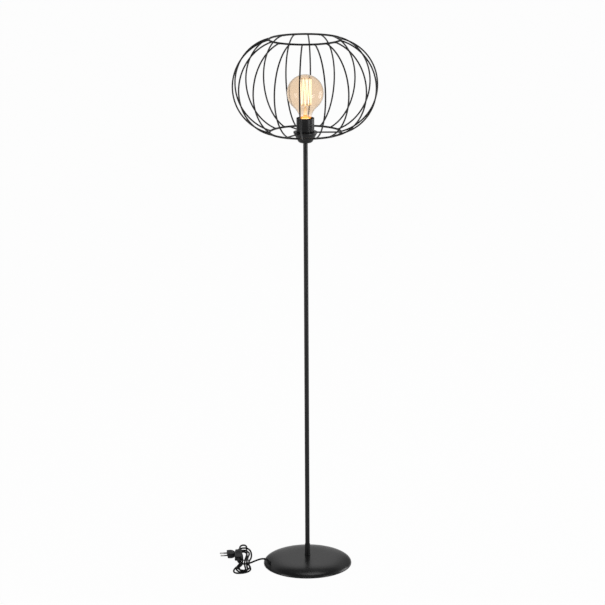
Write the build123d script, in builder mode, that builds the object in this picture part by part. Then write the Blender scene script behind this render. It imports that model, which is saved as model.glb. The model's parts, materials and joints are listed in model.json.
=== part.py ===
from build123d import *
import os
from math import atan2, cos, hypot, pi, radians, sin, sqrt, tan

# Wire cage floor lamp, in millimetres. +Z is up, the origin is on the floor under the pole,
# and the plug lies to the -X side. Every piece is a separate solid.

# ---------------------------------------------------------------- driving dimensions
# base
base_radius = 118.0
base_height = 23.5
base_rim = 1.5                 # height of the upright edge under the dome's curve
base_flat_radius = 38.0        # the dome's top is flat out to here
shell_wall = 1.5
shell_floor_gap = 0.6
pad_inset = 10.0                # the pad's edge from the dome's
pad_thickness = 2.0
weight_inset = 18.0
weight_top = 12.5
weight_boss_radius = 20.0
weight_boss_slope = 8.0
weight_edge = 6.0
nut_recess_radius = 15.0
nut_recess_top = 16.0
cord_channel_width = 7.0
cord_channel_top = 8.0

# threaded rod, nuts and washer, all on the pole's axis
nipple_radius = 4.9
nipple_bore = 3.4
nipple_grip = 18.0             # how far a nipple reaches into the pole
nut_width = 14.0
nut_height = 4.0
washer_radius = 12.0
washer_height = 1.5

# pole
pole_radius = 6.0
pole_sections = 3
coupler_length = 40.0
foot_radius = 7.0
foot_height = 32.0
foot_flange_radius = 7.8
foot_flange_height = 3.5

# cage
cage_top = 1418.0              # height of the top ring's wire centre
cage_height = 240.0            # from ring centre to ring centre
cage_ring_radius = 92.0
cage_belly_radius = 186.5
ring_wire = 5.2
rib_wire = 4.0
spoke_wire = 4.0
rib_count = 18
rib_phase = 5.7                # angle of the first rib from +X
spoke_angles = (0.0, 117.0, 237.0)
hub_radius = 31.0
hub_thickness = 4.0

# cup and holder
cup_radius = 30.5
cup_foot_radius = 17.0
cup_foot_round = 9.0
cup_height = 25.0
cup_wall = 1.2
core_radius = 21.3
core_skirt = 8.0               # how far the core reaches below the hub
core_floor = 7.0
sleeve_radius = 23.0
sleeve_height = 35.5
sleeve_wall = 1.2
sleeve_mouth = 15.6
cap_shell_radius = 21.3
cap_shell_wall = 1.4
screw_shell_bore = 13.45
screw_shell_sheet = 0.5
screw_shell_height = 23.0
terminal_spread = 11.0
terminal_radius = 3.2

# bulb
bulb_radius = 47.5
bulb_length = 140.0
bulb_above_sleeve = 112.0
bulb_cap_radius = 13.2
bulb_cap_height = 26.5
bulb_cap_sheet = 0.4
bulb_foot_radius = 4.6
glass_wall = 0.8
glass_neck_radius = 12.4
glass_neck_grip = 5.0
flare_radius = 45.6
flare_start_radius = 14.6
stem_height = 32.0
filament_radius = 15.0
filament_height = 66.0
filament_strands = 10
filament_wire = 1.0
support_wire = 0.7

# cord and what is on it
cord_diameter = 4.6
exit_inset = 10.64             # the cord's exit from the dome's edge
exit_turn = -163.46            # its angle from +X
grommet_radius = 4.6
grommet_lip = 1.2
switch_length = 58.0
switch_width = 19.0
switch_height = 12.0
switch_wall = 1.4
switch_centre = (-186.5, 13.0, 18.4)
rocker_length = 18.0
rocker_width = 9.0
rocker_tilt = 7.0
rocker_rise = 3.4
rocker_dip = 0.8
rocker_pin_radius = 1.0
plug_length = 25.0
plug_width = 35.3
plug_thickness = 13.7
plug_nose_radius = 4.4
plug_nose_length = 11.0
plug_waist = 14.0              # the body keeps its full width this far behind its face
plug_back = 4.0                # and ends this far from the nose's end
plug_back_width = 22.0
plug_yaw = 7.8
plug_nose_at = (-193.5, 51.3)
plug_lift = 0.65               # the plug hangs this far off the floor on its cord
pin_radius = 2.0
pin_length = 19.0
pin_spacing = 18.6
pin_sleeve_length = 9.0
pin_sleeve_radius = 1.7
pin_root = 5.0                 # how deep the pins stand in the plug

# hank of cord, about its own centre at the tie
hank_centre = (-171.0, -8.0)
hank_turns = 3
hank_pitch = cord_diameter + 0.7      # step from turn to turn and from layer to layer
hank_waist_pitch = cord_diameter + 1.0
hank_waist = 10.0              # half width at the tie, outer turn
hank_upper_width = (16.3, 9.6, 9.0)     # half widths of the upper lobes, turn by turn
hank_upper_reach = (98.0, 86.0, 132.0)
hank_upper_lean = (-4.0, -4.0, -3.3)
hank_lower_width = (15.5, 8.5, 17.5)
hank_lower_reach = (68.0, 57.0, 66.0)
hank_lower_lean = (-5.0, -3.6, 0.0)
hank_droop = 4.6               # the last turn's far end hangs to the floor
tie_width = 8.0
tie_thickness = 0.55
tie_lift = 0.9                 # the cords rise this much over the tie

# clearances
fit = 0.3                      # between curved faces of neighbours
running = 0.05                 # round a pivot pin
seat = 0.1                     # under what lies on the floor

# ---------------------------------------------------------------- levels worked out
cage_bottom = cage_top - cage_height
hub_top = cage_bottom + hub_thickness / 2
cup_top = hub_top - hub_thickness
pole_top = cup_top - cup_height
section_length = (pole_top - base_height) / pole_sections
sleeve_top = hub_top + sleeve_height
bulb_top = sleeve_top + bulb_above_sleeve
bulb_tip = bulb_top - bulb_length
bulb_centre = bulb_top - bulb_radius
bulb_cap_top = bulb_tip + bulb_cap_height
core_bottom = cup_top - core_skirt
cord_radius = cord_diameter / 2
pad_radius = base_radius - pad_inset
weight_radius = base_radius - weight_inset

os.makedirs("parts", exist_ok=True)


def save(piece, name):
    """Label a finished piece and write it as one file."""
    piece.part.label = name
    export_step(piece.part, f"parts/{name}.step")


def tube(inner, outer, low, high):
    """An upright tube round the pole's axis."""
    with BuildPart(mode=Mode.PRIVATE) as piece:
        with BuildSketch(Plane.XY.offset(low)):
            Circle(outer)
            Circle(inner, mode=Mode.SUBTRACT)
        extrude(amount=high - low)
    return piece


def hex_nut(low):
    """A nut round the pole's axis, standing on a level."""
    with BuildPart(mode=Mode.PRIVATE) as piece:
        with BuildSketch(Plane.XY.offset(low)):
            RegularPolygon(nut_width / 2, 6, major_radius=False)
            Circle(nipple_radius + running, mode=Mode.SUBTRACT)
        extrude(amount=nut_height)
    return piece


# ---------------------------------------------------------------- base
dome_reach = base_radius - base_flat_radius
dome_rise = base_height - base_rim
outward = Vector(cos(radians(exit_turn)), sin(radians(exit_turn)), 0)
exit_share = (base_radius - exit_inset - base_flat_radius) / dome_reach
exit_rise = sqrt(1 - exit_share**2)
cord_exit = outward * (base_radius - exit_inset) + Vector(0, 0, base_rim + dome_rise * exit_rise)
exit_normal = (outward * (exit_share / dome_reach) + Vector(0, 0, exit_rise / dome_rise)).normalized()

with BuildPart() as base_shell:
    with BuildSketch(Plane.XZ):
        with BuildLine():
            centre = (base_flat_radius, base_rim)
            outer_curve = EllipticalCenterArc(centre, dome_reach, dome_rise, 0, arc_size=90)
            inner_curve = EllipticalCenterArc(
                centre, dome_reach - shell_wall, dome_rise - shell_wall, 0, arc_size=90
            )
            Polyline(
                outer_curve @ 0,
                (base_radius, shell_floor_gap),
                (base_radius - shell_wall, shell_floor_gap),
                inner_curve @ 0,
            )
            Polyline(
                outer_curve @ 1,
                (nipple_radius + fit, base_height),
                (nipple_radius + fit, base_height - shell_wall),
                inner_curve @ 1,
            )
        make_face()
    revolve(axis=Axis.Z)
    with BuildSketch(Plane(origin=cord_exit, z_dir=exit_normal).offset(-2 * shell_wall)):
        Circle(grommet_radius)
    extrude(amount=4 * shell_wall, mode=Mode.SUBTRACT)
save(base_shell, "base_shell")

with BuildPart() as base_weight:
    with BuildSketch(Plane.XZ):
        with BuildLine():
            Polyline(
                (nut_recess_radius, pad_thickness),
                (weight_radius, pad_thickness),
                (weight_radius, weight_top - weight_edge / 2),
                (weight_radius - weight_edge, weight_top),
                (weight_boss_radius + weight_boss_slope, weight_top),
                (weight_boss_radius, weight_top + weight_boss_slope / 2),
                (weight_boss_radius, base_height - shell_wall),
                (nipple_radius + fit, base_height - shell_wall),
                (nipple_radius + fit, nut_recess_top),
                (nut_recess_radius, nut_recess_top),
                close=True,
            )
        make_face()
    revolve(axis=Axis.Z)
    with BuildSketch(Plane.XY.offset(pad_thickness).rotated((0, 0, exit_turn))):
        with Locations((weight_radius / 2 + nipple_radius, 0)):
            Rectangle(weight_radius, cord_channel_width)
    extrude(amount=cord_channel_top - pad_thickness, mode=Mode.SUBTRACT)
save(base_weight, "base_weight")

save(tube(nut_recess_radius, pad_radius, 0, pad_thickness), "base_pad")
washer_level = nut_recess_top - washer_height
save(tube(nipple_radius + running, washer_radius, washer_level, nut_recess_top), "base_washer")
nut_level = washer_level - nut_height
save(hex_nut(nut_level), "base_nut")
nipple_foot = nut_level - 1
save(tube(nipple_bore, nipple_radius, nipple_foot, base_height + nipple_grip), "base_nipple")

with BuildPart() as cord_grommet:
    lip_plane = Plane(origin=cord_exit, z_dir=exit_normal)
    with BuildSketch(lip_plane.offset(-2 * shell_wall)):
        Circle(grommet_radius - running)
    extrude(amount=2 * shell_wall + 0.5)
    with BuildSketch(lip_plane.offset(0.5)):
        Circle(grommet_radius + grommet_lip)
    extrude(amount=grommet_lip, taper=20)
    with BuildSketch(lip_plane.offset(-4 * shell_wall)):
        Circle(cord_radius + fit)
    extrude(amount=10 * shell_wall, mode=Mode.SUBTRACT)
save(cord_grommet, "cord_grommet")

# ---------------------------------------------------------------- pole
with BuildPart() as pole_foot:
    with BuildSketch(Plane.XY.offset(base_height)):
        Circle(foot_flange_radius)
    extrude(amount=foot_flange_height)
    fillet(pole_foot.edges().group_by(Axis.Z)[-1], 0.8)
    with BuildSketch(Plane.XY.offset(base_height)):
        Circle(foot_radius)
    extrude(amount=foot_height)
    chamfer(pole_foot.edges().group_by(Axis.Z)[-1], 0.5)
    with BuildSketch(Plane.XY.offset(base_height)):
        Circle(pole_radius + fit)
    extrude(amount=foot_height, mode=Mode.SUBTRACT)
save(pole_foot, "pole_foot")

for number, name in enumerate(("pole_lower", "pole_middle", "pole_upper")[:pole_sections]):
    low = base_height + number * section_length
    save(tube(nipple_radius + running, pole_radius, low, low + section_length), name)

with BuildPart() as pole_couplers:
    for number in range(1, pole_sections):
        joint_level = base_height + number * section_length
        with BuildSketch(Plane.XY.offset(joint_level - coupler_length / 2)):
            Circle(nipple_radius)
            Circle(nipple_bore, mode=Mode.SUBTRACT)
        extrude(amount=coupler_length)
save(pole_couplers, "pole_couplers")

# ---------------------------------------------------------------- cage
def wire_ring(name, height):
    """One of the cage's two rings."""
    with BuildPart() as ring:
        with BuildSketch(Plane.XZ):
            with Locations((cage_ring_radius, height)):
                Circle(ring_wire / 2)
        revolve(axis=Axis.Z)
    save(ring, name)


wire_ring("cage_top_ring", cage_top)
wire_ring("cage_bottom_ring", cage_bottom)

with BuildPart() as cage_ribs:
    for number in range(rib_count):
        rib_frame = Plane.XZ.rotated((0, 0, rib_phase + number * 360 / rib_count))
        with BuildLine(rib_frame) as rib_path:
            ThreePointArc(
                (cage_ring_radius, cage_bottom),
                (cage_belly_radius, cage_bottom + cage_height / 2),
                (cage_ring_radius, cage_top),
            )
        with BuildSketch(Plane(origin=rib_path.line @ 0, z_dir=rib_path.line % 0)):
            Circle(rib_wire / 2)
        sweep(path=rib_path.line)
save(cage_ribs, "cage_ribs")

with BuildPart() as cage_hub:
    with BuildSketch(Plane.XY.offset(cup_top)):
        Circle(hub_radius)
        Circle(core_radius + fit, mode=Mode.SUBTRACT)
    extrude(amount=hub_thickness)
    fillet(cage_hub.edges().filter_by(lambda edge: edge.length > 2 * pi * (hub_radius - 1)), 0.8)
save(cage_hub, "cage_hub")

with BuildPart() as cage_spokes:
    for angle in spoke_angles:
        spoke_frame = Plane.XY.offset(cage_bottom).rotated((0, 0, angle))
        spoke_foot = spoke_frame.from_local_coords((hub_radius - 1, 0, 0))
        across = Plane(origin=spoke_foot, z_dir=spoke_frame.x_dir)
        with BuildSketch(across):
            Circle(spoke_wire / 2)
        extrude(amount=cage_ring_radius - hub_radius)
save(cage_spokes, "cage_spokes")

# ---------------------------------------------------------------- cup and holder
with BuildPart() as holder_cup:
    slope = (cup_radius - cup_foot_radius) / cup_height
    side_step = cup_wall * hypot(1, slope)
    inner_foot = cup_foot_radius + slope * cup_wall - side_step
    with BuildSketch(Plane.XZ):
        with BuildLine():
            FilletPolyline(
                (cup_radius, cup_top),
                (cup_foot_radius, pole_top),
                (nipple_radius + running, pole_top),
                radius=cup_foot_round,
            )
            Line((nipple_radius + running, pole_top), (nipple_radius + running, pole_top + cup_wall))
            FilletPolyline(
                (nipple_radius + running, pole_top + cup_wall),
                (inner_foot, pole_top + cup_wall),
                (cup_radius - side_step, cup_top),
                radius=cup_foot_round - cup_wall,
            )
            Line((cup_radius - side_step, cup_top), (cup_radius, cup_top))
        make_face()
    revolve(axis=Axis.Z)
save(holder_cup, "holder_cup")

cap_shell_level = pole_top + cup_wall + nut_height
holder_nipple_top = cap_shell_level + 4.5
save(tube(nipple_bore, nipple_radius, pole_top - nipple_grip, holder_nipple_top), "holder_nipple")
save(hex_nut(pole_top + cup_wall), "holder_nut")

with BuildPart() as holder_cap:
    with BuildSketch(Plane.XZ):
        with BuildLine():
            Polyline(
                (nipple_radius + running, cap_shell_level),
                (cap_shell_radius - 7, cap_shell_level),
                (cap_shell_radius - 2, core_bottom - 4),
                (cap_shell_radius, core_bottom),
                (cap_shell_radius - cap_shell_wall, core_bottom),
                (cap_shell_radius - 2 - cap_shell_wall, core_bottom - 4 + cap_shell_wall / 2),
                (cap_shell_radius - 7 - cap_shell_wall / 2, cap_shell_level + cap_shell_wall),
                (nipple_radius + running, cap_shell_level + cap_shell_wall),
                close=True,
            )
        make_face()
    revolve(axis=Axis.Z)
save(holder_cap, "holder_cap")

screw_shell_low = bulb_cap_top - screw_shell_height
core_floor_top = core_bottom + core_floor
with BuildPart() as holder_core:
    with BuildSketch(Plane.XY.offset(core_bottom)):
        Circle(core_radius)
    extrude(amount=sleeve_top - sleeve_wall - fit - core_bottom)
    with BuildSketch(Plane.XY.offset(core_floor_top)):
        Circle(screw_shell_bore + screw_shell_sheet + fit)
    extrude(amount=sleeve_top - core_floor_top, mode=Mode.SUBTRACT)
    with BuildSketch(Plane.XY.offset(core_bottom)):
        with Locations((-terminal_spread, 0), (terminal_spread, 0)):
            Circle(terminal_radius + fit)
    extrude(amount=3, mode=Mode.SUBTRACT)
save(holder_core, "holder_core")

with BuildPart() as screw_shell:
    with BuildSketch(Plane.XY.offset(screw_shell_low)):
        Circle(screw_shell_bore + screw_shell_sheet)
        Circle(screw_shell_bore, mode=Mode.SUBTRACT)
    extrude(amount=screw_shell_height - 1)
    with BuildSketch(Plane.XY.offset(screw_shell_low)):
        Circle(screw_shell_bore + screw_shell_sheet)
        Circle(screw_shell_bore - 2, mode=Mode.SUBTRACT)
    extrude(amount=screw_shell_sheet)
save(screw_shell, "screw_shell")

with BuildPart() as side_contact:
    strip_side = screw_shell_bore - 1
    with BuildSketch(Plane.XZ.offset(-2)):
        with BuildLine():
            Polyline(
                (strip_side - 6, core_floor_top),
                (strip_side, core_floor_top),
                (strip_side, screw_shell_low),
                (strip_side - 0.8, screw_shell_low),
                (strip_side - 0.8, core_floor_top + 0.8),
                (strip_side - 6, core_floor_top + 0.8),
                close=True,
            )
        make_face()
    extrude(amount=4)
save(side_contact, "side_contact")

with BuildPart() as centre_contact:
    tongue_top = bulb_tip - fit
    with BuildSketch(Plane.XZ.offset(-3)):
        with BuildLine():
            Polyline(
                (-9, core_floor_top),
                (1, core_floor_top),
                (4.5, tongue_top - 2.4),
                (-1, tongue_top),
                (-3.5, tongue_top - 0.6),
                (-3.3, tongue_top - 1.3),
                (-1, tongue_top - 0.8),
                (3, tongue_top - 2.5),
                (0.6, core_floor_top + 0.8),
                (-9, core_floor_top + 0.8),
                close=True,
            )
        make_face()
    extrude(amount=6)
save(centre_contact, "centre_contact")

with BuildPart() as terminal_screws:
    for side in (-1, 1):
        with BuildSketch(Plane.XY.offset(core_bottom - 0.5)):
            with Locations((side * terminal_spread, 0)):
                Circle(terminal_radius)
        extrude(amount=2)
        with BuildSketch(Plane.XY.offset(core_bottom - 0.5)):
            with Locations((side * terminal_spread, 0)):
                Rectangle(2 * terminal_radius, 0.9)
        extrude(amount=0.9, mode=Mode.SUBTRACT)
        with BuildSketch(Plane.XY.offset(core_bottom + 1.5)):
            with Locations((side * terminal_spread, 0)):
                Circle(terminal_radius / 2)
        extrude(amount=1.5)
save(terminal_screws, "terminal_screws")

with BuildPart() as holder_sleeve:
    with BuildSketch(Plane.XY.offset(hub_top)):
        Circle(sleeve_radius)
    extrude(amount=sleeve_height)
    fillet(holder_sleeve.edges().group_by(Axis.Z)[-1], 0.8)
    with BuildSketch(Plane.XY.offset(hub_top)):
        Circle(sleeve_radius - sleeve_wall)
    extrude(amount=sleeve_height - sleeve_wall, mode=Mode.SUBTRACT)
    with BuildSketch(Plane.XY.offset(hub_top)):
        Circle(sleeve_mouth)
    extrude(amount=sleeve_height, mode=Mode.SUBTRACT)
save(holder_sleeve, "holder_sleeve")

# ---------------------------------------------------------------- bulb
flare_reach = flare_start_radius + flare_radius
flare_level = bulb_centre - sqrt((bulb_radius + flare_radius) ** 2 - flare_reach**2)
flare_centre = (flare_reach, flare_level)
flare_turn = atan2(bulb_centre - flare_level, -flare_centre[0])
glass_low = bulb_cap_top - glass_neck_grip
mouth_level = bulb_cap_top + 2.5


def glass_outline(wall):
    """The bulb's profile from the neck to the top, a wall's thickness inside the glass."""
    arc_radius = flare_radius + wall
    mouth = (flare_centre[0] - sqrt(arc_radius**2 - (mouth_level - flare_level) ** 2), mouth_level)
    half_turn = (flare_turn + atan2(mouth_level - flare_level, mouth[0] - flare_centre[0])) / 2
    half_way = (flare_centre[0] + arc_radius * cos(half_turn), flare_level + arc_radius * sin(half_turn))
    meeting = (flare_centre[0] + arc_radius * cos(flare_turn), flare_level + arc_radius * sin(flare_turn))
    ball = bulb_radius - wall
    Line((glass_neck_radius - wall, glass_low), (glass_neck_radius - wall, bulb_cap_top))
    Line((glass_neck_radius - wall, bulb_cap_top), mouth)
    ThreePointArc(mouth, half_way, meeting)
    ThreePointArc(meeting, (ball, bulb_centre), (0, bulb_centre + ball))


with BuildPart() as bulb_glass:
    with BuildSketch(Plane.XZ):
        with BuildLine():
            glass_outline(0)
            glass_outline(glass_wall)
            Line((glass_neck_radius - glass_wall, glass_low), (glass_neck_radius, glass_low))
            Line((0, bulb_top - glass_wall), (0, bulb_top))
        make_face()
    revolve(axis=Axis.Z)
save(bulb_glass, "bulb_glass")

cap_foot_level = bulb_tip + 3.5
with BuildPart() as bulb_cap:
    with BuildSketch(Plane.XZ):
        with BuildLine():
            Polyline(
                (bulb_cap_radius - 3, cap_foot_level),
                (bulb_cap_radius, cap_foot_level + 2),
                (bulb_cap_radius, bulb_cap_top),
                (bulb_cap_radius - bulb_cap_sheet, bulb_cap_top),
                (bulb_cap_radius - bulb_cap_sheet, cap_foot_level + 2 + bulb_cap_sheet),
                (bulb_cap_radius - 3, cap_foot_level + bulb_cap_sheet),
                close=True,
            )
        make_face()
    revolve(axis=Axis.Z)
save(bulb_cap, "bulb_cap")

with BuildPart() as bulb_insulator:
    with BuildSketch(Plane.XZ):
        with BuildLine():
            Polyline(
                (0, bulb_tip + 1.2),
                (bulb_foot_radius + 0.6, bulb_tip + 1.2),
                (bulb_cap_radius - 3, cap_foot_level),
                (bulb_cap_radius - 3, cap_foot_level + 2),
                (0, cap_foot_level + 2),
                close=True,
            )
        make_face()
    revolve(axis=Axis.Z)
save(bulb_insulator, "bulb_insulator")

with BuildPart() as bulb_contact:
    with BuildSketch(Plane.XY.offset(bulb_tip)):
        Circle(bulb_foot_radius)
    extrude(amount=1.2)
    fillet(bulb_contact.edges().group_by(Axis.Z)[0], 0.8)
save(bulb_contact, "bulb_contact")

stem_foot = glass_low + 1
stem_top = stem_foot + stem_height
filament_low = bulb_centre - filament_height / 2 + 3
filament_top = filament_low + filament_height
with BuildPart() as bulb_stem:
    with BuildSketch(Plane.XZ):
        with BuildLine():
            foot_radius_inside = glass_neck_radius - glass_wall
            foot_line = Line((foot_radius_inside, stem_foot), (foot_radius_inside, stem_foot + 1.5))
            neck_line = Line((2.2, stem_top - 6), (2.2, stem_top - 3))
            flare_line = Spline(foot_line @ 1, (5.2, stem_foot + 9), neck_line @ 0)
            rod_line = Polyline(neck_line @ 1, (1.6, stem_top), (1.6, filament_top), (0, filament_top))
            Polyline(rod_line @ 1, (0, stem_foot), foot_line @ 0)
        make_face()
    revolve(axis=Axis.Z)
    for level in (filament_top, filament_low):
        with Locations((0, 0, level)):
            Sphere(2.4)
save(bulb_stem, "bulb_stem")


def spoke_wires(level):
    """Hooks that run from the stem's bead out to the filament's bends."""
    with BuildPart(mode=Mode.PRIVATE) as wires:
        for number in range(filament_strands):
            turn = number * 360 / filament_strands
            frame = Plane(origin=(0, 0, level), z_dir=(cos(radians(turn)), sin(radians(turn)), 0))
            with BuildSketch(frame.offset(1.8)):
                Circle(support_wire / 2)
            extrude(amount=filament_radius - filament_wire / 2 - 1.8)
    return wires


with BuildPart() as bulb_supports:
    add(spoke_wires(filament_top).part)
    add(spoke_wires(filament_low).part)
save(bulb_supports, "bulb_supports")

with BuildPart() as bulb_filament:
    for number in range(filament_strands):
        turn = number * 2 * pi / filament_strands
        foot = Vector(filament_radius * cos(turn), filament_radius * sin(turn), filament_low - 0.5)
        with BuildSketch(Plane(origin=foot)):
            Circle(filament_wire / 2)
        extrude(amount=filament_height + 1)
save(bulb_filament, "bulb_filament")

# ---------------------------------------------------------------- cord inside the lamp
channel_level = pad_thickness + cord_radius + seat
cord_end = cap_shell_level + 2
with BuildPart() as inner_cord:
    with BuildLine() as inner_route:
        dive = cord_exit - exit_normal * ((cord_exit.Z - channel_level) / exit_normal.Z)
        FilletPolyline(cord_exit, dive, (0, 0, channel_level), (0, 0, cord_end), radius=(6, 5))
    with BuildSketch(Plane(origin=inner_route.line @ 0, z_dir=inner_route.line % 0)):
        Circle(cord_radius)
    sweep(path=inner_route.line)
save(inner_cord, "inner_cord")

with BuildPart() as holder_leads:
    lead_radius = cord_radius / 2 - running
    for side in (-1, 1):
        with BuildLine() as lead_route:
            FilletPolyline(
                (side * cord_radius / 2, 0, cord_end),
                (side * cord_radius / 2, 0, core_bottom - 4),
                (side * terminal_spread, 0, core_bottom - 0.5 - lead_radius),
                radius=2,
            )
        with BuildSketch(Plane(origin=lead_route.line @ 0, z_dir=lead_route.line % 0)):
            Circle(lead_radius)
        sweep(path=lead_route.line)
save(holder_leads, "holder_leads")

# ---------------------------------------------------------------- hank of cord
cord_level = cord_radius + seat
tie_left = hank_centre[0] - hank_waist
tie_right = hank_centre[0] + hank_waist - hank_waist_pitch / 2 + hank_pitch + 0.15


def half_way(start, heading, end):
    """The middle of the arc that leaves a point along a heading and ends at another."""
    chord = end - start
    along = chord.normalized()
    bend = radians(heading.get_angle(chord))
    aside = (heading - along * heading.dot(along)).normalized()
    return (start + end) * 0.5 + aside * (chord.length / 2 * tan(bend / 2))


def biarc(start, heading, end, heading_out):
    """Two arcs that run on from one another, from one point and heading to the next."""
    span = end - start
    reach = span.dot(heading + heading_out)
    opening = 2 * (1 - heading.dot(heading_out))
    if opening < 1e-9:
        step = span.dot(span) / (2 * reach)
    else:
        step = (sqrt(reach**2 + opening * span.dot(span)) - reach) / opening
    meeting = (start + end + (heading - heading_out) * step) * 0.5
    ThreePointArc(start, half_way(start, heading, meeting), meeting)
    ThreePointArc(meeting, half_way(end, heading_out * -1, meeting), end)


def hank_stations():
    """Points and headings along the hank: up on the left, over the top, down on the right, round."""
    upward, rightward = Vector(0, 1, 0), Vector(1, 0, 0)
    half_tie = cord_diameter
    stations = []

    def place(turn, x, y, heading, lift=0.0):
        climb = min(1.0, max(0.0, 6 * (turn - hank_turns + 1.25)))
        level = cord_level + hank_pitch * climb + lift
        stations.append((Vector(hank_centre[0] + x, hank_centre[1] + y, level), heading))

    def waist(turn):
        return hank_waist - hank_waist_pitch * min(turn, hank_turns - turn)

    place(0, -hank_waist, 0, upward, tie_lift)
    for number in range(hank_turns):
        width, reach, lean = hank_upper_width[number], hank_upper_reach[number], hank_upper_lean[number]
        droop = hank_droop if number + 1 == hank_turns else 0
        place(number, -waist(number), half_tie, upward, tie_lift)
        place(number + 1 / 8, lean - width, reach - width, upward)
        place(number + 2 / 8, lean, reach, rightward, -droop)
        place(number + 3 / 8, lean + width, reach - width, upward * -1)
        place(number + 4 / 8, waist(number + 0.5), half_tie, upward * -1, tie_lift)
        width, reach, lean = hank_lower_width[number], hank_lower_reach[number], hank_lower_lean[number]
        place(number + 4 / 8, waist(number + 0.5), -half_tie, upward * -1, tie_lift)
        place(number + 5 / 8, lean + width, width - reach, upward * -1)
        place(number + 6 / 8, lean, -reach, rightward * -1)
        place(number + 7 / 8, lean - width, width - reach, upward)
        place(number + 1, -waist(number + 1), -half_tie, upward, tie_lift)
    place(hank_turns, -hank_waist, 0, upward, tie_lift)
    return stations


def least_gap(edges, step=2.0):
    """The least gap between turns of a tube that are well apart along it."""
    points = []
    for edge in edges:
        count = max(2, round(edge.length / step))
        points += [tuple(edge.position_at((index + 0.5) / count)) for index in range(count)]
    apart = round(6 * cord_diameter / step)
    gaps = (
        sqrt(sum((a - b) ** 2 for a, b in zip(points[first], points[second])))
        for first in range(len(points))
        for second in range(first + apart, len(points))
    )
    return min(gaps) - cord_diameter


with BuildPart() as cord_hank:
    stations = hank_stations()
    with BuildLine() as hank_route:
        for (start, heading), (end, heading_out) in zip(stations, stations[1:]):
            if (end - start).get_angle(heading) < 0.01:
                Line(start, end)
            else:
                biarc(start, heading, end, heading_out)
    with BuildSketch(Plane(origin=stations[0][0], z_dir=stations[0][1])):
        Circle(cord_radius)
    sweep(path=hank_route.line)
save(cord_hank, "cord_hank")
hank_length = sum(edge.length for edge in hank_route.line.edges())
hank_gap = least_gap(hank_route.line.edges())
print(f"cord_hank: {hank_length:.0f} mm, least gap to itself {hank_gap:.2f} mm")

with BuildPart() as hank_tie:
    room = cord_radius + fit
    tie_low = cord_level + tie_lift - room
    tie_high = cord_level + hank_pitch + tie_lift + room
    middle = ((tie_left + tie_right) / 2, (tie_low + tie_high) / 2)
    across = tie_right - tie_left + 2 * room
    with BuildSketch(Plane.XZ.offset(-hank_centre[1] - tie_width / 2)):
        with Locations(middle):
            RectangleRounded(across + 2 * tie_thickness, tie_high - tie_low + 2 * tie_thickness, room)
            RectangleRounded(across, tie_high - tie_low, room - tie_thickness, mode=Mode.SUBTRACT)
    extrude(amount=tie_width)
save(hank_tie, "hank_tie")

# ---------------------------------------------------------------- free stretches of cord
switch_front = (switch_centre[0], switch_centre[1] - switch_length / 2, switch_centre[2])
switch_back = (switch_centre[0], switch_centre[1] + switch_length / 2, switch_centre[2])
hank_start = stations[0][0]
hank_end = stations[-1][0]
plug_level = plug_lift + plug_thickness / 2
plug_nose = Vector(plug_nose_at[0], plug_nose_at[1], plug_level)
plug_heading = Vector(-cos(radians(plug_yaw)), -sin(radians(plug_yaw)), 0)

lead_points = (
    cord_exit,
    cord_exit + exit_normal * 9,
    cord_exit + Vector(-12.0, -2.8, 12.3),
    cord_exit + Vector(-22.0, -4.2, 12.9),
    cord_exit + Vector(-37.0, -8.5, 9.0),
    (-154.0, -44.5, 17.0),
    (-170.0, -51.5, 16.6),
    (-182.5, -46.5, 17.2),
    (-186.5, -31.0, 18.4),
    switch_front,
)
loop_points = (
    switch_back,
    (-186.5, 53.0, 18.4),
    (-182.3, 62.5, 18.2),
    (-173.5, 68.0, 17.7),
    (-163.8, 67.5, 16.9),
    (-156.6, 61.5, 14.0),
    (-152.8, 52.0, 9.4),
    (-152.0, 41.0, 4.8),
    (-153.0, 30.0, 2.5),
    (-155.5, 17.0, 2.7),
    (-158.1, 4.0, 3.2),
    (-158.5, -12.0, 3.3),
    (-157.0, -26.0, 2.6),
    (-153.4, -40.0, 2.4),
    (-152.2, -56.0, 2.4),
    (-157.5, -72.0, 2.4),
    (-168.0, -83.0, 2.4),
    (-182.0, -86.5, 2.4),
    (-193.5, -82.0, 2.4),
    (-200.5, -71.5, 2.4),
    (-200.8, -58.5, 2.4),
    (-196.8, -46.0, 2.4),
    (-190.5, -34.0, 2.5),
    (-183.5, -24.0, 2.9),
    (-181.0, -15.5, 3.3),
    hank_start,
)
tail_points = (
    hank_end,
    hank_end + Vector(0, 10, 0),
    (-183.8, 15.0, 8.3),
    (-186.0, 28.0, 8.0),
    (-187.0, 40.0, 7.7),
    plug_nose - plug_heading * 4.6 + Vector(2.6, -3.0, 0),
    plug_nose - plug_heading * 4.6,
    plug_nose,
)


def corner_radii(points):
    """The radius at each corner of a route, as large as its two runs allow."""
    radii = []
    for before, corner, after in zip(points, points[1:], points[2:]):
        run_in = Vector(corner) - Vector(before)
        run_out = Vector(after) - Vector(corner)
        half_turn = radians(run_in.get_angle(run_out)) / 2
        radii.append(0.45 * min(run_in.length, run_out.length) / tan(half_turn))
    return radii


def free_cord(name, points):
    """A stretch of cord that lies free: straight runs joined by arcs."""
    radii = corner_radii(points)
    with BuildPart() as cord:
        with BuildLine() as route:
            FilletPolyline(*points, radius=radii)
        with BuildSketch(Plane(origin=route.line @ 0, z_dir=route.line % 0)):
            Circle(cord_radius)
        sweep(path=route.line)
    save(cord, name)
    length = sum(edge.length for edge in route.line.edges())
    filled = cord.part.volume / (pi * cord_radius**2 * length)
    print(f"{name}: {length:.0f} mm, volume {filled:.4f} of section times length")
    print("    radii " + " ".join(f"{radius:.1f}" for radius in radii))
    return length


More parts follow.
